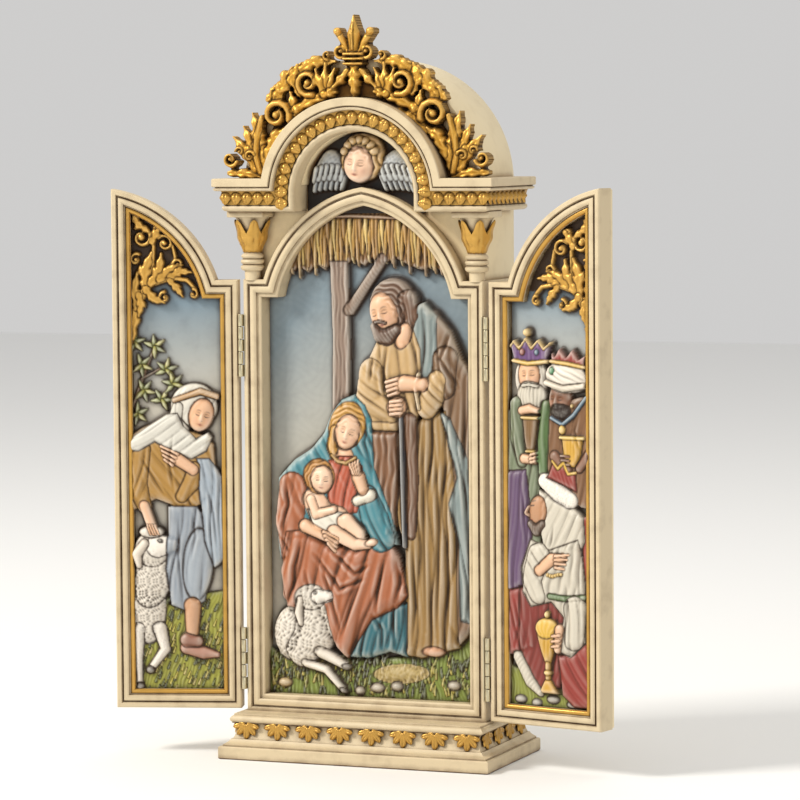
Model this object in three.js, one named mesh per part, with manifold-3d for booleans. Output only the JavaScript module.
// A table-top triptych altarpiece, cast in resin: a moulded plinth, a pointed-arch shrine with a
// nativity in relief under a round-arched cornice and a gilded crest, and two hinged wings.
// Millimetres, +Z up, the front faces -Y, origin at the centre of the underside.
import * as THREE from "three";
import { mergeVertices } from "three/addons/utils/BufferGeometryUtils.js";
import Module from "manifold-3d";

const wasm = await Module();
wasm.setup();

// Plinth
const plinthHalf = 61.5;
const plinthFront = 41.2;
const plinthBack = 25.3;
const slabHeight = 5.5;
const filletHeight = 2.9;
const coveHeight = 6.9;
const torusHeight = 3.9;
const plinthInset = 4.7;

// Shrine: the pointed-arch plate that carries the relief, and the box behind it
const plateHalf = 54.7;
const plateFace = 25;
const sideHeight = 185.8;
const shoulderStep = 9.2;
const archRise = 39.3;
const archCentreOffset = 9.8;
const frameWidth = 7.6;
const frameLip = 4.6;
const frameStep = 2.2;
const recessDepth = 11;
const boxHalf = 52.6;
const boxFront = 18;
const boxBack = 20;

// Cornice and round arch
const corniceRise = 29.2;
const corniceHalf = 63.3;
const corniceFront = 37.8;
const corniceBack = 17.7;
const slabBand = 4.1;
const corniceFillet = 1.6;
const leafBand = 5.8;
const underFillet = 2.5;
const archOuter = 41.1;
const archSlabWidth = 2.2;
const archFilletWidth = 2.5;
const archLeafWidth = 6.7;
const archRollWidth = 3;
const lunetteDepth = 19;
const vaultRadius = 53;
const vaultFront = 26;

// Capitals
const capitalX = 51.2;
const capitalY = 22.5;
const capitalRing = 5.1;
const capitalBell = 8;

// Crest and finial
const crestFront = 31;
const crestReach = 14.5;
const finialHeight = 35.5;
const finialCollar = 4.5;

// Wings and hinges
const wingThickness = 11.7;
const wingRecess = 6;
const wingFrameWidth = 8;
const wingClearance = 0.7;
const hingeGap = 1.2;
const faceGap = 0.3;
const leftOpen = 16.5;
const rightOpen = 13.3;
const hingeHeight = 27;
const hingeLowerFoot = 9;
const hingeUpperFoot = 144;
const knuckleRadius = 1.15;
const knuckleBore = 0.68;
const pinRadius = 0.36;
const leafThickness = 0.5;
const leafReach = 7.5;
const leafStart = 0.2;
const playGap = 0.3;

// Sizes that follow
const plinthTop = slabHeight + filletHeight + coveHeight + torusHeight;
const shoulderZ = plinthTop + sideHeight;
const springHalf = plateHalf - shoulderStep;
const archTop = shoulderZ + archRise;
const springReach = springHalf + archCentreOffset;
const archCentreZ = (archTop + shoulderZ
  - (springReach ** 2 - archCentreOffset ** 2) / archRise) / 2;
const archRadius = Math.hypot(archCentreOffset, archTop - archCentreZ);
const corniceFoot = shoulderZ + corniceRise;
const corniceTop = corniceFoot + underFillet + leafBand + corniceFillet + slabBand;
const roundCentreZ = corniceFoot + underFillet + leafBand - 1.5;
const rollOuter = archOuter - archSlabWidth - archFilletWidth - archLeafWidth;
const lunetteRadius = rollOuter - archRollWidth;
const hingeX = plateHalf + hingeGap;
const hingeY = -(plateFace + faceGap);
const wingFoot = plinthTop + wingClearance;
const wingReach = plateHalf + hingeGap - 0.4;
const degree = Math.PI / 180;

// Solids

// One closed solid from a geometry whose equal corners are merged.
function solid(geometry) {
  geometry.deleteAttribute("normal");
  geometry.deleteAttribute("uv");
  const merged = mergeVertices(geometry, 1e-4);
  return new wasm.Manifold(new wasm.Mesh({
    numProp: 3,
    vertProperties: new Float32Array(merged.attributes.position.array),
    triVerts: new Uint32Array(merged.index.array),
  }));
}

function geometryOf(body) {
  const mesh = body.getMesh();
  const geometry = new THREE.BufferGeometry();
  geometry.setAttribute("position", new THREE.BufferAttribute(new Float32Array(mesh.vertProperties), 3));
  geometry.setIndex(Array.from(mesh.triVerts));
  geometry.computeVertexNormals();
  return geometry;
}

// Joins a list of solids in pairs, so that no step carries the whole mesh.
function join(bodies) {
  let row = bodies;
  while (row.length > 1) {
    const next = [];
    for (let i = 0; i < row.length; i += 2) {
      next.push(i + 1 < row.length ? row[i].add(row[i + 1]) : row[i]);
    }
    row = next;
  }
  return row[0];
}

// A plate cut to an outline drawn in X and Z, from depth `front` to depth `back` along Y.
function plate(shape, front, back, segments = 8) {
  const geometry = new THREE.ExtrudeGeometry(shape, {
    depth: back - front, bevelEnabled: false, curveSegments: segments,
  });
  geometry.rotateX(Math.PI / 2);
  geometry.translate(0, back, 0);
  return solid(geometry);
}

// A block whose foot and head have sizes of their own, as in a moulding: {half, front, back, z}.
function taper(foot, head) {
  const geometry = new THREE.BoxGeometry(2, 2, 2);
  const place = geometry.attributes.position;
  for (let i = 0; i < place.count; i += 1) {
    const level = place.getZ(i) > 0 ? head : foot;
    const y = place.getY(i) > 0 ? level.back : -level.front;
    place.setXYZ(i, place.getX(i) * level.half, y, level.z);
  }
  return solid(geometry);
}

function mouldings(levels) {
  const blocks = [];
  for (let i = 0; i + 1 < levels.length; i += 1) {
    if (levels[i + 1].z > levels[i].z) {
      blocks.push(taper(levels[i], levels[i + 1]));
    }
  }
  return join(blocks);
}

// A pointed leaf lying on a wall: a four-sided pyramid with a long tip, its root at (x, z).
function leafOn(x, z, length, width, turn, wall, proud) {
  const geometry = new THREE.ConeGeometry(1, 1, 4, 1);
  geometry.rotateX(Math.PI / 2);
  geometry.translate(0, 0, 0.5);
  geometry.scale(width / 2, length / 2, proud + 1);
  geometry.translate(0, length / 2, 0);
  geometry.rotateZ(turn * degree);
  geometry.rotateX(Math.PI / 2);
  geometry.translate(x, wall + 1, z);
  return solid(geometry);
}

// Outlines

// The pointed arch on straight sides, drawn `inset` inside the edge of the plate.
function archShape(inset, foot) {
  const half = plateHalf - inset;
  const shoulder = shoulderZ - inset;
  const radius = archRadius - inset;
  const tip = archCentreZ + Math.sqrt(radius ** 2 - archCentreOffset ** 2);
  const start = Math.asin((shoulder - archCentreZ) / radius);
  const end = Math.atan2(tip - archCentreZ, archCentreOffset);
  const shape = new THREE.Shape();
  shape.moveTo(-half, foot);
  shape.lineTo(half, foot);
  shape.lineTo(half, shoulder);
  shape.absarc(-archCentreOffset, archCentreZ, radius, start, end, false);
  shape.absarc(archCentreOffset, archCentreZ, radius, Math.PI - end, Math.PI - start, false);
  shape.lineTo(-half, shoulder);
  return shape;
}

// Half of that arch for a wing. Its first coordinate runs out from the hinge line.
function wingShape(inset, foot) {
  const near = hingeGap + inset;
  const far = wingReach - inset;
  const shoulder = shoulderZ - playGap - inset;
  const radius = archRadius - playGap - inset;
  const centre = hingeX + archCentreOffset;
  const start = Math.PI - Math.asin((shoulder - archCentreZ) / radius);
  const end = Math.acos((far - centre) / radius);
  const shape = new THREE.Shape();
  shape.moveTo(near, foot);
  shape.lineTo(far, foot);
  shape.absarc(centre, archCentreZ, radius, end, start, false);
  shape.lineTo(near, shoulder);
  return shape;
}

// A round arch on short legs, as the band between two radii.
function roundBand(outer, inner, foot) {
  const shape = new THREE.Shape();
  shape.moveTo(inner, foot);
  shape.lineTo(outer, foot);
  shape.absarc(0, roundCentreZ, outer, 0, Math.PI, false);
  shape.lineTo(-outer, foot);
  shape.lineTo(-inner, foot);
  shape.absarc(0, roundCentreZ, inner, Math.PI, 0, true);
  return shape;
}

function roundOpening(radius, foot) {
  const shape = new THREE.Shape();
  shape.moveTo(-radius, foot);
  shape.lineTo(radius, foot);
  shape.absarc(0, roundCentreZ, radius, 0, Math.PI, false);
  return shape;
}

// Carving. Each form gives the height of the relief over a point of its panel, or 0 beside it.

// A rounded lump from `low` at its rim to `high` at its middle.
function dome(x, z, wide, tall, low, high, turn = 0) {
  const c = Math.cos(turn * degree);
  const s = Math.sin(turn * degree);
  return (px, pz) => {
    const u = ((px - x) * c + (pz - z) * s) / wide;
    const v = ((pz - z) * c - (px - x) * s) / tall;
    const rest = 1 - u * u - v * v;
    return rest > 0 ? low + (high - low) * Math.sqrt(rest) : 0;
  };
}

// A limb, a rod or a roll of cloth along stations [x, z, radius, top].
function limb(low, ...stations) {
  return (px, pz) => {
    let best = 0;
    for (let i = 0; i + 1 < stations.length; i += 1) {
      const [ax, az, ar, at] = stations[i];
      const [bx, bz, br, bt] = stations[i + 1];
      const run = (bx - ax) ** 2 + (bz - az) ** 2;
      const t = Math.min(1, Math.max(0, ((px - ax) * (bx - ax) + (pz - az) * (bz - az)) / run));
      const gap = Math.hypot(px - ax - t * (bx - ax), pz - az - t * (bz - az));
      const rest = 1 - (gap / (ar + t * (br - ar))) ** 2;
      if (rest > 0) {
        best = Math.max(best, low + (at + t * (bt - at) - low) * Math.sqrt(rest));
      }
    }
    return best;
  };
}

// A mass of cloth inside corners [x, z], with shoulders rounded over `round`.
function cloth(high, round, ...corners) {
  return (px, pz) => {
    let inside = false;
    let gap = Infinity;
    corners.forEach(([ax, az], i) => {
      const [bx, bz] = corners[(i + 1) % corners.length];
      if ((az > pz) !== (bz > pz) && px < ax + (bx - ax) * (pz - az) / (bz - az)) {
        inside = !inside;
      }
      const run = (bx - ax) ** 2 + (bz - az) ** 2;
      const t = Math.min(1, Math.max(0, ((px - ax) * (bx - ax) + (pz - az) * (bz - az)) / run));
      gap = Math.min(gap, Math.hypot(px - ax - t * (bx - ax), pz - az - t * (bz - az)));
    });
    if (!inside) {
      return 0;
    }
    const rise = Math.min(1, gap / round);
    return high * (0.45 + 0.55 * Math.sqrt(1 - (1 - rise) ** 2));
  };
}

// A valley between two folds, cut along stations [x, z].
function valley(width, depth, ...stations) {
  const line = limb(0, ...stations.map(([x, z]) => [x, z, width, depth]));
  return (px, pz) => -line(px, pz);
}

// A volute: a limb that winds in from (x + radius, z) through `sweep` degrees.
function volute(x, z, radius, start, sweep, top) {
  const steps = 12;
  const stations = [];
  for (let i = 0; i <= steps; i += 1) {
    const angle = (start + sweep * i / steps) * degree;
    const reach = radius * (1 - 0.72 * i / steps);
    stations.push([x + reach * Math.cos(angle), z + reach * Math.sin(angle), 1.25, top]);
  }
  return limb(0.3, ...stations);
}

// The height of a panel: the highest form there, less the valleys cut into it.
function carve(forms, valleys) {
  return (px, pz) => {
    const top = Math.max(0, ...forms.map((form) => form(px, pz)));
    const cut = Math.min(0, ...valleys.map((line) => line(px, pz)));
    return Math.max(0, top > 1 ? top + cut : top);
  };
}

// The stable, the standing man, the seated mother with the child, the lamb and the grass.
// Drawn for a panel 94.2 wide whose foot is at 19.2, and stretched with the real one.
const drawnHalf = 47.1;
const drawnFoot = 19.2;
const drawnHeight = 225.1;

function stable() {
  return [
    cloth(3.6, 2, [-44, 208], [-33, 209.5], [-24, 208.5], [-14, 212], [-4, 210.5], [4, 212.5], [13, 211],
      [20, 212], [26, 207.5], [34, 208], [44, 206], [44, 246], [-44, 246]),
    cloth(4.6, 0.8, [-44, 230.5], [44, 230.5], [44, 233], [-44, 233]),
    cloth(3.4, 1.2, [-17.5, 150], [-9, 150], [-9.2, 213], [-17.8, 213]),
    limb(0, [-9, 193, 2.4, 2.8], [6.5, 213, 2.2, 2.8]),
    cloth(3.4, 6, [-50, 15], [50, 15], [50, 60], [41, 50], [20, 44], [-10, 42], [-44, 44], [-50, 46]),
  ];
}

function standingMan() {
  return [
    dome(11, 195.5, 9.8, 10.5, 1, 9.4),
    dome(9, 190, 7, 9, 4, 10.2, 12),
    dome(13, 184, 6, 6.5, 3, 9.2),
    limb(3, [19, 187, 5, 7], [19, 174, 6, 7]),
    cloth(7.4, 5, [6, 183], [14, 181], [24, 190], [30, 186], [31, 165], [33, 150], [28, 146], [12, 140],
      [-1, 141], [-3.5, 152], [-3, 160], [0.5, 172]),
    cloth(7.2, 5, [23, 194], [31, 190], [38, 182], [42, 172], [50, 160], [50, 60], [41, 50], [36, 60],
      [34, 110], [36, 150], [29, 166], [28, 186]),
    limb(4, [2, 165, 6, 8.5], [3, 150, 7, 9.2], [12, 151, 5, 9]),
    dome(28, 157, 7, 9, 4, 9.2),
    limb(5, [27, 162, 3, 9.8], [17, 161.5, 3.8, 10.2], [10, 158.5, 2.6, 9.8]),
    dome(14.5, 151.5, 4.6, 4.9, 5, 10.3),
    limb(3, [16, 148, 1.4, 8.8], [16.3, 92, 1.4, 8.4]),
    cloth(6.4, 4, [14, 140], [34, 150], [40, 120], [41, 60], [41, 49], [34, 47], [24, 44], [17, 45],
      [17, 92], [8, 100], [3, 120], [1, 138]),
    dome(29, 47.3, 4.6, 2.4, 2, 6.8),
  ];
}

function seatedMother() {
  return [
    cloth(8.4, 5, [-6, 155.8], [-13, 152], [-18, 146], [-21, 139.5], [-32, 129], [-40.5, 120],
      [-31, 116], [-27, 111], [-12, 105], [10, 92], [13, 92], [11, 104], [3, 125], [1.8, 146], [0.5, 151]),
    dome(-8, 140.5, 6.2, 9.2, 5, 10.2, -20),
    dome(-12, 118, 8, 13, 4, 8.4),
    limb(2, [-35, 112, 6, 7.5], [-35, 100, 7.5, 8.8], [-32, 86, 7, 7.6], [-35, 70, 5, 5]),
    cloth(9.2, 7, [-28, 96], [-20, 92], [-4, 90], [3, 98.5], [9, 95.5], [13, 88], [18, 71], [13.5, 66],
      [2, 60], [-3, 54], [-10, 43], [-14, 48], [-22, 60], [-38, 63], [-40, 80], [-36, 96]),
    dome(4, 88, 11, 12, 4, 10.2),
    cloth(5, 3, [-9, 41], [0, 44], [9, 46.5], [17, 45], [17, 68], [8, 66], [-2, 58]),
    limb(6, [-1.5, 116, 2.8, 9.4], [-3, 122, 3.4, 9.8], [-5, 127, 1.8, 9.6]),
    limb(4, [0, 112, 5, 8.8], [4, 102, 6.5, 9], [8, 94, 6, 8.6]),
  ];
}

function childAndLamb() {
  return [
    dome(-21, 120.5, 7, 7.4, 5, 10.3),
    limb(5, [-23.5, 111, 5, 9.8], [-20, 104, 6, 10], [-13, 103, 6, 10]),
    limb(6, [-8, 102, 4, 10.2], [-2.5, 96, 3, 10]),
    limb(6, [-14, 97, 4.2, 10.3], [-3, 91.5, 3.2, 10.2], [2, 93, 2.6, 10.2]),
    limb(6, [-25, 110, 2.6, 10], [-23, 104.5, 2.6, 10.2], [-14, 107, 2, 10.2]),
    limb(5, [-27, 98.5, 3.2, 9.4], [-20, 95.5, 3, 9.6], [-11, 90, 1.4, 9.2]),
    dome(-24.5, 68.5, 7.8, 5.4, 3, 9.6, 8),
    limb(4, [-21, 69, 3.4, 9], [-17.5, 70, 2.6, 8.6]),
    limb(3, [-25, 66, 6.5, 9], [-24, 50, 9, 9.2]),
    dome(-36, 51.5, 8.5, 11.5, 2, 8.6),
    limb(5, [-31, 67, 1.6, 8.6], [-30, 57, 2.6, 9.4]),
    limb(2, [-29, 40, 2.2, 7], [-20, 37.5, 2.2, 7], [-12.5, 29, 1.8, 6.6]),
    limb(2, [-22, 45, 3.2, 7.4], [-11, 39.5, 2.6, 7]),
  ];
}

const centreValleys = [
  valley(1.6, 2.6, [17.5, 144], [17.5, 90]),
  valley(1.4, 2.4, [25.5, 146], [25.5, 56], [22, 46]),
  valley(1.4, 2.2, [36, 118], [36, 52]),
  valley(1.4, 2.2, [31, 108], [30, 64]),
  valley(1.5, 2.4, [-17, 89], [-5, 80], [0, 82]),
  valley(1.5, 2.4, [-22, 86], [-11, 73], [-2, 78]),
  valley(1.5, 2.6, [1, 86], [-6, 66], [-14, 50]),
  valley(1.5, 2.4, [8, 84], [3, 64]),
  valley(1.5, 2.2, [13, 86], [14, 68]),
  valley(1.4, 2.2, [-30, 92], [-33, 74]),
  valley(1.4, 2, [7, 178], [8, 158]),
  valley(1.2, 1.8, [4, 140], [9, 124]),
  valley(1.2, 1.8, [38, 184], [33, 168], [42, 164]),
];

// The scrollwork in the point of a wing. Both wings have it, the right one slightly lower.
function scrollwork(across, down) {
  const at = (x, z, r, top) => [x + across, z - down, r, top];
  return [
    volute(43 + across, 223 - down, 4.6, 60, 330, 3),
    volute(45 + across, 231.3 - down, 2, -120, 270, 2.8),
    volute(33 + across, 220.5 - down, 3.2, 40, 300, 3),
    volute(20.6 + across, 198.4 - down, 1.4, 90, 240, 2.8),
    volute(33.6 + across, 197.4 - down, 2.2, 90, -260, 3),
    volute(45.4 + across, 214 - down, 2.2, 120, -240, 3),
    limb(0.3, at(40, 202, 1.3, 2.6), at(38.3, 213, 1.2, 2.8), at(37.6, 221, 1.1, 2.8), at(41, 228, 1, 2.8)),
    limb(0.3, at(39, 202, 1.3, 2.8), at(30, 209, 1.2, 2.8), at(27.8, 216, 1, 2.8), at(30, 223, 1, 2.8)),
    limb(0.3, at(40, 201, 1.4, 2.8), at(32, 204.6, 1.2, 2.8), at(24, 204.6, 1.2, 2.8), at(19.6, 200, 1, 2.6)),
    limb(0.3, at(48, 178, 1, 1.6), at(45.5, 190, 2.8, 3), at(41, 198, 2.8, 3.2), at(36, 200.5, 1.6, 3)),
    limb(0.3, at(47.6, 193, 1.4, 2), at(45.5, 204, 3, 3), at(42, 212, 2, 3)),
    limb(0.3, at(38, 203, 1.4, 2.8), at(35, 209, 2.2, 3.2), at(34.5, 215.5, 1.8, 3)),
    limb(0.3, at(30, 208, 1.2, 2.6), at(25, 212.5, 2, 3), at(22, 208, 1.6, 2.6)),
  ];
}

// The shepherd, his sheep and the branch behind him. Coordinates run out from the hinge line.
function shepherdPanel() {
  const leaves = [[41, 178, 8], [37.5, 177, -20], [43.5, 173, 50], [36, 174.5, -70], [46, 163, 60],
    [38, 165, 25], [34, 166, 0], [29, 165.5, -45], [31, 161, -110], [45, 157, 70], [39, 157, -80],
    [33, 157.5, -80], [34, 152, 20], [43, 154, -120], [46, 146, 10]];
  const forms = leaves.map(([x, z, turn]) => dome(x, z, 1.5, 3.4, 0.4, 2, turn));
  return forms.concat([
    limb(0.3, [48, 168, 0.8, 1.2], [41, 174, 0.7, 1.2]),
    cloth(1.6, 4, [5, 15], [54, 15], [54, 58], [30, 62], [20, 66], [5, 70]),
    dome(41, 67, 8.2, 19, 1, 5.2),
    dome(39.5, 89, 8.5, 6, 1.5, 5.5, -6),
    dome(31, 90.5, 4, 3.6, 1.5, 5.3),
    limb(0.5, [47, 54, 2.2, 3.6], [46, 29, 1.8, 3.2]),
    limb(0.5, [37, 54, 2.6, 4], [35.8, 45, 1.9, 4], [41, 36, 1.7, 3.6]),
    dome(20, 151, 10, 9, 1, 5.1),
    limb(1.5, [30, 148, 2, 3.6], [26, 142, 3, 4]),
    dome(17.2, 147.5, 5.6, 8, 2.5, 5.6, 10),
    cloth(4.2, 3.5, [54, 135], [44, 141], [33, 146], [27, 141], [16, 138], [13, 134], [12, 120],
      [10, 112], [20, 108], [30, 108], [38, 110], [54, 102]),
    limb(1.5, [44, 130, 5, 4.6], [45, 116, 4.5, 4.6], [42, 106, 3, 4.9], [39, 97, 2.4, 5]),
    limb(3, [47, 139, 2, 4.6], [38, 141, 3, 5], [28, 136, 3.6, 5.3], [19, 132, 3.4, 5.3], [14.5, 138, 1.6, 4.8]),
    limb(3, [21, 123, 2.8, 5.3], [29, 128, 3.4, 5.5], [37, 132, 1.8, 5.1]),
    dome(24, 115, 5, 7, 2, 5),
    cloth(3.8, 3, [20, 127], [15, 127], [7, 119], [6, 84], [12, 80], [15, 92], [18, 110]),
    cloth(3.8, 3, [36, 107], [22, 110], [16, 98], [14, 84], [20, 63], [31, 64], [33, 80], [32, 96]),
    dome(20, 80, 7, 17, 2, 5.4),
    limb(1, [22.5, 63, 4, 4.2], [23, 48, 3, 4]),
    limb(1, [25, 45, 3, 4.2], [18, 43.5, 3, 4.2], [12, 43, 1.4, 3.4]),
  ], scrollwork(0, 0));
}

const shepherdValleys = [
  valley(1.1, 1.4, [28, 106], [28, 68]),
  valley(1, 1.3, [16, 118], [11, 88]),
  valley(1, 1.3, [44, 124], [32, 112]),
  valley(0.9, 1.2, [34, 139], [24, 131], [16, 133]),
];

// The three kings: two standing, one kneeling over a covered cup.
function kingsPanel() {
  return [
    cloth(1.6, 3, [5, 15], [58, 15], [58, 36], [30, 34], [10, 42], [5, 44]),
    cloth(4.4, 2, [12, 171], [29, 171], [31, 180], [25, 178.5], [20, 182], [14, 178], [10, 178]),
    dome(18, 183.4, 1.9, 1.9, 2, 4.6),
    dome(20, 165.5, 6.4, 7.5, 2, 5.4),
    dome(22, 157.5, 8.6, 8.5, 1.5, 4.9),
    limb(1, [13.5, 156, 3.6, 3.6], [13.5, 138, 3.4, 4], [15, 127, 2.6, 4.2]),
    dome(20.5, 152.5, 4.8, 3.4, 3, 5.6),
    cloth(5, 1.8, [17, 149], [24.5, 149], [23, 136], [22.5, 125], [18, 125], [18.5, 136]),
    dome(20.5, 131, 3.4, 4.8, 3, 5.6),
    cloth(3, 2.5, [9, 150], [24, 150], [24, 96], [20, 92], [9, 80]),
    limb(0.8, [12, 124, 2, 2.8], [13, 100, 4, 3.4], [14, 80, 3, 3.2]),
    dome(38, 165.5, 11, 7, 2, 5.5, -8),
    limb(1, [31, 173.5, 2, 3.6], [40, 174.5, 2.2, 3.8], [47, 171.5, 1.6, 3.4]),
    dome(34.8, 156.8, 6, 7.6, 2, 5.3),
    dome(35.5, 152.5, 5.6, 4, 2, 5.2),
    cloth(4, 3, [29, 154], [42, 157], [50, 160], [58, 150], [58, 112], [44, 112], [30, 125], [23, 130]),
    limb(1.5, [27.5, 153, 2.6, 4.2], [26, 138, 3.2, 4.6], [26, 126, 2.6, 4.2]),
    cloth(5.4, 2.2, [35.5, 141], [46.5, 141], [45.5, 133], [43.5, 128], [38.5, 128], [36.5, 133]),
    limb(2.5, [33, 132, 2.8, 5], [41, 127, 2.4, 5.2]),
    limb(2.5, [49, 133, 2.6, 4.8], [44, 127.5, 2, 5.2]),
    cloth(4.8, 4, [24, 118], [40, 113], [45, 108], [46, 98], [42, 90], [26, 93], [24, 104]),
    limb(2.5, [28, 122, 4, 5.2], [34, 117.5, 4.4, 5.5], [40, 114.5, 4, 5.2]),
    limb(2, [31, 125.5, 2.2, 4.6], [41, 119.5, 2, 4.6]),
    dome(23.5, 110, 4.6, 6.6, 2, 5.2, -8),
    dome(22.5, 103.8, 3, 2.6, 2, 4.8),
    cloth(4.8, 4.5, [20, 98], [30, 92], [44, 98], [46, 80], [46, 56], [40, 49.5], [34, 51], [36, 66],
      [30, 72], [20, 69.5], [16, 76], [15.5, 84]),
    limb(2.5, [24, 90, 6, 5.4], [21, 80, 5, 5.3], [24, 73, 4, 5.3]),
    limb(3.5, [25, 84, 2.6, 5.5], [30, 90, 3.2, 5.6], [39, 91.5, 2, 5.4]),
    limb(2.5, [42, 70, 6, 5.3], [41, 56, 5, 5.3]),
    limb(3.5, [33.5, 60, 2.2, 5.6], [33, 51, 1.6, 5.5]),
    cloth(5.5, 2.4, [22.5, 60.5], [33.5, 60.5], [31.5, 52], [29.6, 45], [27.6, 45], [25.2, 52]),
    dome(28.2, 60.5, 5.2, 4.8, 3.5, 5.5),
    dome(28.5, 66.5, 1.4, 1.8, 2.5, 5),
    limb(2, [28.6, 46, 1.5, 4.8], [28.6, 38, 1.5, 4.8]),
    cloth(4.8, 1.4, [26.8, 38.5], [30.2, 38.5], [33.6, 33], [24.4, 33]),
    cloth(3.4, 3, [9, 74], [16, 76], [20, 69], [30, 70], [34, 50], [58, 52], [58, 104], [46, 106],
      [46, 62], [30, 42], [20, 46], [9, 50]),
    dome(44, 40, 10, 11, 1, 4.2),
    limb(1, [14.5, 70, 4.5, 4.2], [13.5, 56, 4.5, 4.2]),
    limb(0.8, [13, 46, 2.4, 3], [20, 37, 2.6, 3.2], [24, 33.5, 1.6, 2.8]),
  ].concat(scrollwork(2, 1.5));
}

const kingsValleys = [
  valley(1, 1.3, [16, 120], [18, 96]),
  valley(1, 1.3, [45, 100], [45, 60]),
  valley(0.9, 1.2, [34, 104], [30, 94]),
  valley(0.9, 1.2, [20, 66], [26, 46]),
  valley(1, 1.3, [38, 60], [38, 80]),
];

// The cherub under the round arch: a head between two feathered wings.
function cherub() {
  const forms = [dome(0, 256.5, 9.6, 10.8, 2, 8.6), dome(-1, 253.4, 6.8, 7.6, 5, 9.4, -10)];
  for (const side of [-1, 1]) {
    forms.push(limb(1, [8 * side, 252, 3.5, 4.5], [14.5 * side, 255, 4.5, 5.2], [19 * side, 249, 4, 4.4]));
    for (let i = 0; i < 5; i += 1) {
      const x = (9 + 3.1 * i) * side;
      forms.push(limb(1, [x, 250, 1.9, 4.6], [x + 2.4 * side, 242.5 - 0.9 * i, 1.3, 3.4]));
    }
  }
  return forms;
}

// A carved panel as a closed block. Its face is split into right triangles only where one flat
// triangle would miss the carving by more than `miss`, down to a grid of `cells` each way.
function reliefBlock(height, region, cells, miss) {
  const row = cells + 1;
  const rise = new Float32Array(row * row);
  for (let j = 0; j < row; j += 1) {
    for (let i = 0; i < row; i += 1) {
      const x = region.left + (region.right - region.left) * i / cells;
      const z = region.foot + (region.top - region.foot) * j / cells;
      rise[j * row + i] = height(x, z);
    }
  }
  const misses = missPerCorner(rise, cells);
  const corners = new Map();
  const points = [];
  const triangles = [];
  const corner = (i, j) => {
    const key = j * row + i;
    if (!corners.has(key)) {
      corners.set(key, points.length / 3);
      const x = region.left + (region.right - region.left) * i / cells;
      const z = region.foot + (region.top - region.foot) * j / cells;
      points.push(x, region.ground - rise[key], z);
    }
    return corners.get(key);
  };
  const split = (ai, aj, bi, bj, ci, cj) => {
    const mi = (ai + bi) >> 1;
    const mj = (aj + bj) >> 1;
    if (Math.abs(ai - ci) + Math.abs(aj - cj) > 1 && misses[mj * row + mi] > miss) {
      split(ci, cj, ai, aj, mi, mj);
      split(bi, bj, ci, cj, mi, mj);
    } else {
      triangles.push(corner(ai, aj), corner(bi, bj), corner(ci, cj));
    }
  };
  split(0, 0, cells, cells, cells, 0);
  split(cells, cells, 0, 0, 0, cells);
  return closeBlock(points, triangles, region);
}

// How far the carving departs from a flat triangle at each corner of the grid, smallest first, so
// that a corner also answers for the smaller triangles under it.
function missPerCorner(rise, cells) {
  const row = cells + 1;
  const misses = new Float32Array(row * row);
  const total = cells * cells * 2 - 2;
  const parents = total - cells * cells;
  for (let n = total - 1; n >= 0; n -= 1) {
    let id = n + 2;
    let [ai, aj, bi, bj, ci, cj] = id & 1 ? [0, 0, cells, cells, cells, 0] : [cells, cells, 0, 0, 0, cells];
    id >>= 1;
    while (id > 1) {
      const mi = (ai + bi) >> 1;
      const mj = (aj + bj) >> 1;
      [ai, aj, bi, bj, ci, cj] = id & 1 ? [ci, cj, ai, aj, mi, mj] : [bi, bj, ci, cj, mi, mj];
      id >>= 1;
    }
    const middle = ((aj + bj) >> 1) * row + ((ai + bi) >> 1);
    const flat = (rise[aj * row + ai] + rise[bj * row + bi]) / 2;
    misses[middle] = Math.max(misses[middle], Math.abs(flat - rise[middle]));
    if (n < parents) {
      const one = ((aj + cj) >> 1) * row + ((ai + ci) >> 1);
      const two = ((bj + cj) >> 1) * row + ((bi + ci) >> 1);
      misses[middle] = Math.max(misses[middle], misses[one], misses[two]);
    }
  }
  return misses;
}

// Walls round the rim of the face and a flat back, so that the block is one closed body.
function closeBlock(points, triangles, region) {
  const edges = new Set();
  for (let t = 0; t < triangles.length; t += 3) {
    for (let k = 0; k < 3; k += 1) {
      edges.add(`${triangles[t + k]},${triangles[t + (k + 1) % 3]}`);
    }
  }
  const backOf = new Map();
  const back = (a) => {
    if (!backOf.has(a)) {
      backOf.set(a, points.length / 3);
      points.push(points[3 * a], region.back, points[3 * a + 2]);
    }
    return backOf.get(a);
  };
  const middle = points.length / 3;
  points.push((region.left + region.right) / 2, region.back, (region.foot + region.top) / 2);
  for (const edge of edges) {
    const [a, b] = edge.split(",").map(Number);
    if (!edges.has(`${b},${a}`)) {
      triangles.push(b, a, back(b), a, back(a), back(b), back(b), back(a), middle);
    }
  }
  const geometry = new THREE.BufferGeometry();
  geometry.setAttribute("position", new THREE.BufferAttribute(new Float32Array(points), 3));
  geometry.setIndex(triangles);
  const body = solid(geometry);
  if (body.volume() > 0) {
    return body;
  }
  for (let t = 0; t < triangles.length; t += 3) {
    [triangles[t], triangles[t + 1]] = [triangles[t + 1], triangles[t]];
  }
  geometry.setIndex(triangles);
  return solid(geometry);
}

// The shrine

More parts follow.
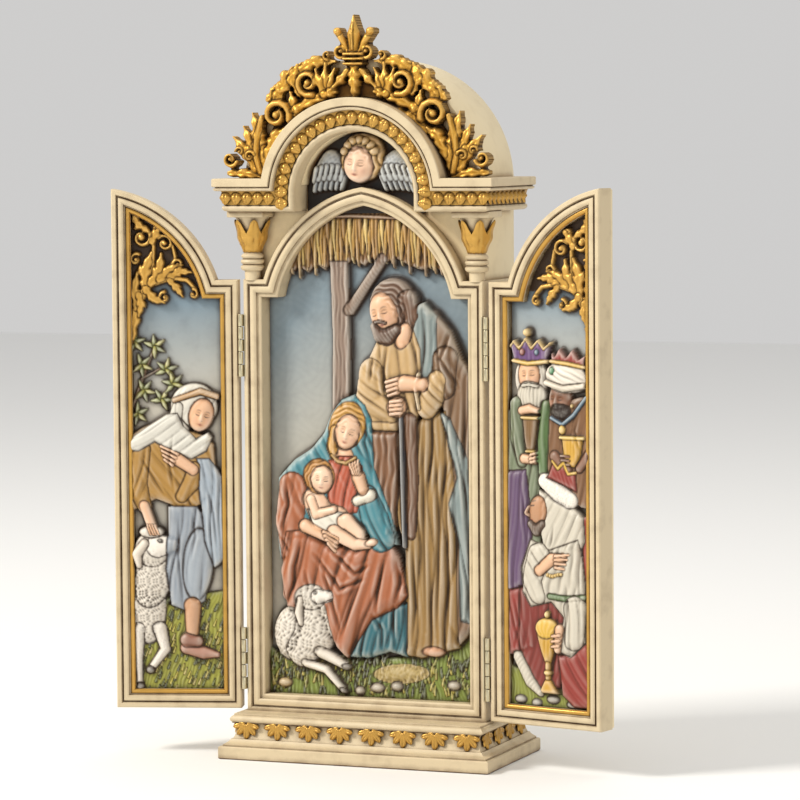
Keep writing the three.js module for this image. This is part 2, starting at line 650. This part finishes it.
function plinth() {
  const top = plinthHalf - plinthInset;
  const level = (z, inset) => ({
    z, half: plinthHalf - inset, front: plinthFront - inset, back: plinthBack - inset / 2,
  });
  const z1 = slabHeight;
  const z2 = z1 + filletHeight;
  const z3 = z2 + coveHeight;
  const bodies = [mouldings([
    level(0, 0.6), level(0.8, 0), level(z1 - 0.8, 0), level(z1, 0.6),
    level(z2, 1.8), level(z2 + coveHeight * 0.3, 4.4), level(z2 + coveHeight * 0.7, 5.6),
    level(z3, plinthInset + 0.3), level(z3 + torusHeight * 0.3, plinthInset - 0.4),
    level(z3 + torusHeight * 0.7, plinthInset - 0.4), level(plinthTop, plinthInset + 0.5),
  ])];
  const lobes = 8;
  for (let i = 0; i < lobes; i += 1) {
    const x = (i - (lobes - 1) / 2) * (2 * top - 6) / lobes;
    for (const turn of [-42, 0, 42]) {
      bodies.push(leafOn(x, z2, coveHeight * 0.95, 3.4, turn, -(plinthFront - 5.2), 1.9));
    }
  }
  return join(bodies);
}

function framePlate() {
  return plate(archShape(0, plinthTop - 1), -plateFace, boxBack - 1.3);
}

// What is cut out of the plate: the step inside the frame, and the recess behind the relief.
function frameOpening() {
  const lip = archShape(frameLip, plinthTop + frameLip);
  const opening = archShape(frameWidth, plinthTop + frameWidth);
  return join([
    plate(lip, -plateFace - 1, -plateFace + frameStep),
    plate(opening, -plateFace - 2, -plateFace + recessDepth + 1),
  ]);
}

function nativity() {
  const ground = -plateFace + recessDepth;
  const across = drawnHalf / (plateHalf - frameWidth);
  const upright = drawnHeight / (archTop - plinthTop);
  const height = carve([...stable(), ...standingMan(), ...seatedMother(), ...childAndLamb()], centreValleys);
  const block = reliefBlock((x, z) => height(x * across, drawnFoot + (z - plinthTop) * upright), {
    left: -(plateHalf - frameWidth / 2), right: plateHalf - frameWidth / 2,
    foot: plinthTop + frameWidth / 2, top: archTop - frameWidth / 2, ground, back: ground + 3,
  }, 64, 1.9);
  const edge = archShape(frameWidth - 0.6, plinthTop + frameWidth - 0.6);
  return block.intersect(plate(edge, -plateFace - 5, ground + 4));
}

function box() {
  const shape = new THREE.Shape();
  shape.moveTo(-boxHalf, plinthTop - 1);
  shape.lineTo(boxHalf, plinthTop - 1);
  shape.lineTo(boxHalf, corniceTop);
  shape.lineTo(-boxHalf, corniceTop);
  const vault = new THREE.Shape();
  vault.moveTo(vaultRadius, corniceTop - 3);
  vault.absarc(0, corniceTop - 3, vaultRadius, 0, Math.PI, false);
  return join([plate(shape, -boxFront, boxBack), plate(vault, -vaultFront, boxBack, 14)]);
}

function cornice() {
  const level = (z, inset) => ({
    z, half: corniceHalf - inset, front: corniceFront - inset, back: corniceBack - inset / 2,
  });
  const z1 = corniceFoot + underFillet;
  const z2 = z1 + leafBand;
  const z3 = z2 + corniceFillet;
  const run = mouldings([
    level(corniceFoot, 4.6), level(z1, 4), level(z1 + leafBand * 0.5, 2.6), level(z2, 1.8),
    level(z2, 0.9), level(z3, 0.9), level(z3, 0), level(corniceTop, 0),
  ]);
  const radii = [archOuter, archOuter - archSlabWidth, archOuter - archSlabWidth - archFilletWidth,
    rollOuter, lunetteRadius];
  const fronts = [corniceFront, corniceFront - 0.9, corniceFront - 4.4, plateFace + 4];
  const bodies = fronts.map((front, i) => plate(
    roundBand(radii[i], radii[i + 1] - 0.2, corniceFoot), -front, -vaultFront + 1, 14));
  const legs = plate(roundOpening(archOuter, corniceFoot), -corniceFront - 1, -vaultFront + 0.5, 14);
  const opening = plate(roundOpening(lunetteRadius, corniceFoot - 1), -corniceFront - 2, -vaultFront + 2, 14);
  const leaves = [];
  const middle = (radii[2] + radii[3]) / 2;
  const count = 15;
  for (let i = 0; i < count; i += 1) {
    const angle = (i + 0.5) * 180 / count;
    const x = (middle + archLeafWidth / 2) * Math.cos(angle * degree);
    const z = roundCentreZ + (middle + archLeafWidth / 2) * Math.sin(angle * degree);
    leaves.push(leafOn(x, z, archLeafWidth + 0.6, 7, angle + 90, -fronts[2], 2.8));
  }
  for (const side of [-1, 1]) {
    for (let x = archOuter + 2.4; x < corniceHalf - 4; x += 6) {
      leaves.push(leafOn(side * x, z2, leafBand, 6, 180, -corniceFront + 3.4, 2.8));
    }
  }
  return join([run.subtract(legs), ...bodies, ...leaves]).subtract(opening);
}

function lunette() {
  const height = carve(cherub(), []);
  const ground = -lunetteDepth;
  const drawnCentre = 241;
  const scale = 26.8 / lunetteRadius;
  const block = reliefBlock((x, z) => height(x * scale, drawnCentre + (z - roundCentreZ) * scale) / scale, {
    left: -lunetteRadius, right: lunetteRadius, foot: roundCentreZ - 8,
    top: roundCentreZ + 2 * lunetteRadius - 8, ground, back: ground + 3,
  }, 32, 1.1);
  const opening = plate(roundOpening(lunetteRadius + 0.5, corniceFoot - 1), -corniceFront, ground + 4, 14);
  const pointedArch = plate(archShape(0.5, plinthTop), -corniceFront, boxBack);
  return block.intersect(opening).subtract(pointedArch);
}

function capital(side) {
  const foot = shoulderZ;
  const bellFoot = foot + 11.6;
  const bellTop = corniceFoot - 2.4;
  const profile = [[0, 0], [3.4, 0], [3.4, 4.2], [capitalRing, 5], [capitalRing, 10.8], [4.2, 11.6],
    [4.6, 18], [6.6, bellTop - foot - 2], [capitalBell - 1.2, bellTop - foot], [0, bellTop - foot]];
  const turned = new THREE.LatheGeometry(profile.map(([r, z]) => new THREE.Vector2(r, z)), 10);
  turned.rotateX(Math.PI / 2);
  turned.translate(side * capitalX, -capitalY, foot);
  const bodies = [solid(turned), taper(
    { half: capitalBell + 0.6, front: capitalY + capitalBell, back: -capitalY + 7, z: bellTop },
    { half: capitalBell + 0.9, front: capitalY + capitalBell + 0.6, back: -capitalY + 7, z: corniceFoot },
  ).translate([side * capitalX, 0, 0])];
  for (const turn of [-26, 26]) {
    bodies.push(leafOn(side * capitalX, bellFoot, bellTop - bellFoot, 5, turn, -capitalY - 4.4, 2));
  }
  return join(bodies);
}

function disc(x, z, radius, front, back) {
  const shape = new THREE.Shape();
  shape.absarc(x, z, radius, 0, 2 * Math.PI, false);
  return plate(shape, front, back, 5);
}

// A leaf as a plate with a chamfered edge, from its root to its tip, and `sweep` of its length to
// one side, as a curling acanthus leaf.
function petal([x0, z0], [x1, z1], width, sweep, front, back) {
  const length = Math.hypot(x1 - x0, z1 - z0);
  const bow = sweep * length;
  const shape = new THREE.Shape();
  shape.moveTo(0, 0);
  shape.bezierCurveTo(width * 0.9 + bow, length * 0.25, width * 0.6 + bow, length * 0.85, 0, length);
  shape.bezierCurveTo(bow - width * 0.6, length * 0.85, bow - width * 0.9, length * 0.25, 0, 0);
  const body = plate(shape, front, back, 4);
  const turn = Math.atan2(x1 - x0, z1 - z0) / degree;
  return body.rotate([0, turn, 0]).translate([x0, 0, z0]);
}

// The crest: a crescent on the back of the round arch, with volutes, leaves and a fleur on top.
function crest() {
  const back = -vaultFront + 1;
  const rim = archOuter + crestReach;
  const base = roundCentreZ;
  const bodies = [plate(roundBand(rim - 6.5, archOuter - 1, base - 1), -crestFront + 1.5, back, 12)];
  for (const side of [-1, 1]) {
    const volutes = [[35.5, 32.4, 7], [21, 45.4, 6], [57, 13.9, 4], [48, 15, 2.2], [53, 16.6, 2], [12.5, 56.4, 2.4]];
    for (const [x, up, radius] of volutes) {
      bodies.push(disc(side * x, base + up, radius, -crestFront - 1.5, back));
      bodies.push(disc(side * x, base + up, radius * 0.4, -crestFront - 3, back));
    }
    const leaves = [
      [[57, 9], [42.5, 7], 5, -0.08], [[43, 14], [50.5, 27.5], 7, 0.12], [[41, 17], [44.5, 31], 6, 0.1],
      [[48, 14], [55, 23], 5, 0.12], [[34, 38], [20.5, 55], 7, -0.18], [[25, 49], [8, 54], 6, -0.12],
      [[14, 41], [8.5, 51], 5, 0.1], [[14, 41], [16, 54], 5, 0.05], [[28, 36], [26, 50], 5, 0.1],
    ];
    for (const [[x0, up0], [x1, up1], width, sweep] of leaves) {
      bodies.push(petal([side * x0, base + up0], [side * x1, base + up1], width, side * sweep, -crestFront, back));
    }
  }
  return join(bodies.concat(finial(base + rim)));
}

// The fleur on top: three petals over a collar, two small volutes, and a leaf hanging below.
function finial(collarZ) {
  const tip = corniceTop + finialHeight * 1.95;
  const front = -crestFront - 3;
  const back = -vaultFront - 1;
  const bodies = [
    petal([0, collarZ + 1], [0, tip], 5, 0, front, back),
    petal([0, collarZ - 2], [0, collarZ - 16], 4, 0, front, back),
    taper(
      { half: finialCollar, front: crestFront + 4, back: -vaultFront, z: collarZ - 2.5 },
      { half: finialCollar, front: crestFront + 4, back: -vaultFront, z: collarZ + 2.6 },
    ),
  ];
  for (const side of [-1, 1]) {
    bodies.push(petal([side, collarZ + 1], [side * 7.8, collarZ + 10], 4, side * -0.22, front, back));
    bodies.push(disc(side * 7.6, collarZ + 10.8, 2, front, back));
    bodies.push(disc(side * 5.6, collarZ + 3.6, 3.4, front - 1, back));
    bodies.push(petal([side, collarZ - 4], [side * 7, collarZ - 9], 3.6, 0, front, back));
  }
  return bodies;
}

// Hinges. The mortise takes the leaf and the knuckles with a little play all round.
function tube(outer, inner, length, foot) {
  const profile = [[inner, 0], [outer, 0], [outer, length], [inner, length], [inner, 0]];
  const turned = new THREE.LatheGeometry(profile.map(([r, z]) => new THREE.Vector2(r, z)), 6);
  turned.rotateX(Math.PI / 2);
  turned.translate(0, 0, foot);
  return solid(turned);
}

function block(x0, x1, y0, y1, z0, z1) {
  const geometry = new THREE.BoxGeometry(x1 - x0, y1 - y0, z1 - z0);
  geometry.translate((x0 + x1) / 2, (y0 + y1) / 2, (z0 + z1) / 2);
  return solid(geometry);
}

// The two sides of a hinge about its own line, +X towards the wing, +Y into the thickness.
const leafSet = leafThickness + playGap - (hingeGap - knuckleRadius) + 0.2;
const mortiseIn = hingeGap + leafSet + playGap;

function mortise(foot, towards) {
  const reach = towards * mortiseIn;
  const [x0, x1] = reach < 0 ? [reach, 0.2] : [-0.2, reach];
  return block(x0, x1, -3, leafReach + playGap, foot - playGap, foot + hingeHeight + playGap);
}

function hingeLeaf(foot, towards, first) {
  const near = hingeGap + leafSet - leafThickness;
  const [x0, x1] = towards < 0 ? [-near - leafThickness, -near] : [near, near + leafThickness];
  const pitch = hingeHeight / 5;
  const bodies = [block(x0, x1, leafStart, leafReach, foot, foot + hingeHeight)];
  for (let i = 0; i < 5; i += 1) {
    const z = foot + i * pitch;
    if (i % 2 === first) {
      bodies.push(tube(knuckleRadius, knuckleBore, pitch - playGap, z + playGap / 2));
      bodies.push(block(Math.min(x0, towards * knuckleBore), Math.max(x1, towards * knuckleBore),
        0.75, 1.1, z + playGap / 2, z + pitch - playGap / 2));
    }
  }
  return join(bodies);
}

function hingePin(foot) {
  const pin = new THREE.CylinderGeometry(pinRadius, pinRadius, hingeHeight, 6);
  pin.rotateX(Math.PI / 2);
  pin.translate(0, 0, foot + hingeHeight / 2);
  return pin;
}

const hinges = [
  { name: "lower", foot: plinthTop + hingeLowerFoot },
  { name: "upper", foot: plinthTop + hingeUpperFoot },
];

function shrine() {
  const lunetteRecess = plate(
    roundOpening(lunetteRadius, corniceFoot - 1), -corniceFront - 1, -lunetteDepth + 1, 14);
  const upper = join([box(), cornice()]).subtract(lunetteRecess);
  const framed = join([plinth(), upper, framePlate()]).subtract(frameOpening());
  let body = join([framed, nativity(), lunette(), crest(), capital(-1), capital(1)]);
  for (const side of [-1, 1]) {
    for (const hinge of hinges) {
      body = body.subtract(mortise(hinge.foot, -side).translate([side * hingeX, hingeY, 0]));
    }
  }
  return body;
}

// A wing about its hinge line: +X runs out from the line, the carved face looks to -Y.
// `side` is -1 for the left wing, which is the mirror outline.
function wing(side, forms, valleys) {
  const faceStep = wingFrameWidth * 0.68;
  const outer = plate(wingShape(0, wingFoot), 0, wingThickness);
  const lip = plate(wingShape(faceStep, wingFoot + faceStep), -1, 1.43);
  const opening = plate(wingShape(wingFrameWidth, wingFoot + wingFrameWidth - 1.2), -2, wingRecess + 1);
  const height = carve(forms, valleys);
  const upright = drawnHeight / (archTop - plinthTop);
  const across = 55.5 / wingReach;
  const relief = reliefBlock((x, z) => height(x * across, drawnFoot + (z - plinthTop) * upright), {
    left: hingeGap + wingFrameWidth / 2, right: wingReach - wingFrameWidth / 2,
    foot: wingFoot + wingFrameWidth / 2, top: archTop - wingFrameWidth / 2,
    ground: wingRecess, back: wingRecess + 3,
  }, 64, 1.5).intersect(plate(
    wingShape(wingFrameWidth - 0.6, wingFoot + wingFrameWidth - 1.8), -1, wingRecess + 4));
  let body = join([outer.subtract(lip).subtract(opening), relief]);
  for (const hinge of hinges) {
    body = body.subtract(mortise(hinge.foot, 1));
  }
  return side < 0 ? body.mirror([1, 0, 0]) : body;
}

// Scene graph

const material = (name, colour, roughness, metalness) => {
  const finish = new THREE.MeshStandardMaterial({ color: colour, roughness, metalness });
  finish.name = name;
  return finish;
};
const resin = material("painted_resin", "#d9cbb0", 0.55, 0);
const brass = material("hinge_brass", "#b9a26a", 0.35, 0.9);

function named(name, body, finish) {
  const mesh = new THREE.Mesh(body.isBufferGeometry ? body : geometryOf(body), finish);
  mesh.name = name;
  return mesh;
}

const altarpiece = new THREE.Group();
altarpiece.add(named("shrine", shrine(), resin));

const sides = [
  { name: "left", side: -1, open: leftOpen, forms: shepherdPanel(), valleys: shepherdValleys },
  { name: "right", side: 1, open: -rightOpen, forms: kingsPanel(), valleys: kingsValleys },
];
for (const { name, side, open, forms, valleys } of sides) {
  const line = new THREE.Group();
  line.position.set(side * hingeX, hingeY, 0);
  const swing = new THREE.Group();
  swing.rotation.z = open * degree;
  swing.add(named(`${name}_wing`, wing(side, forms, valleys), resin));
  for (const hinge of hinges) {
    line.add(named(`${name}_${hinge.name}_shrine_leaf`, hingeLeaf(hinge.foot, -side, 0), brass));
    line.add(named(`${name}_${hinge.name}_pin`, hingePin(hinge.foot), brass));
    swing.add(named(`${name}_${hinge.name}_wing_leaf`, hingeLeaf(hinge.foot, side, 1), brass));
  }
  line.add(swing);
  altarpiece.add(line);
}

export default altarpiece;
